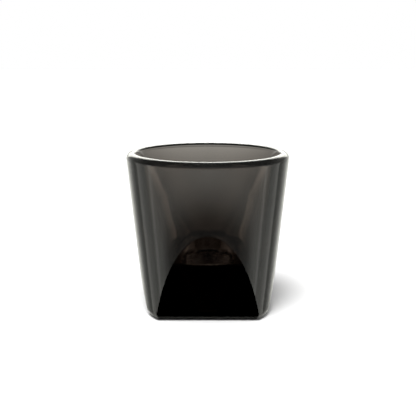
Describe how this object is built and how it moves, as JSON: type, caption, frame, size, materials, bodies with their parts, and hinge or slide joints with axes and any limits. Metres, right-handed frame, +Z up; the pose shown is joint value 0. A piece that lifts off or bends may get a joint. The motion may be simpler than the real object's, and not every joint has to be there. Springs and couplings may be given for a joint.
{
  "type": "whiskey tumbler",
  "caption": "Heavy smoke-grey glass tumbler: a round rim on a widening cone, a very thick base, a flat-floored bowl and flat arched facets that slope in to a rounded triangular foot.",
  "frame": {"origin": "on the glass's axis, at the plane that the foot stands on", "axes": "+Z up along the glass's axis, -Y out of the facet that faces the viewer, +X to the viewer's right"},
  "size_m": [0.0834, 0.0834, 0.084],
  "materials": {
    "smoke_glass": "polished, smoke grey all through"
  },
  "bodies": {
    "root": {"glass_body": "smoke_glass"}
  },
  "joints": []
}
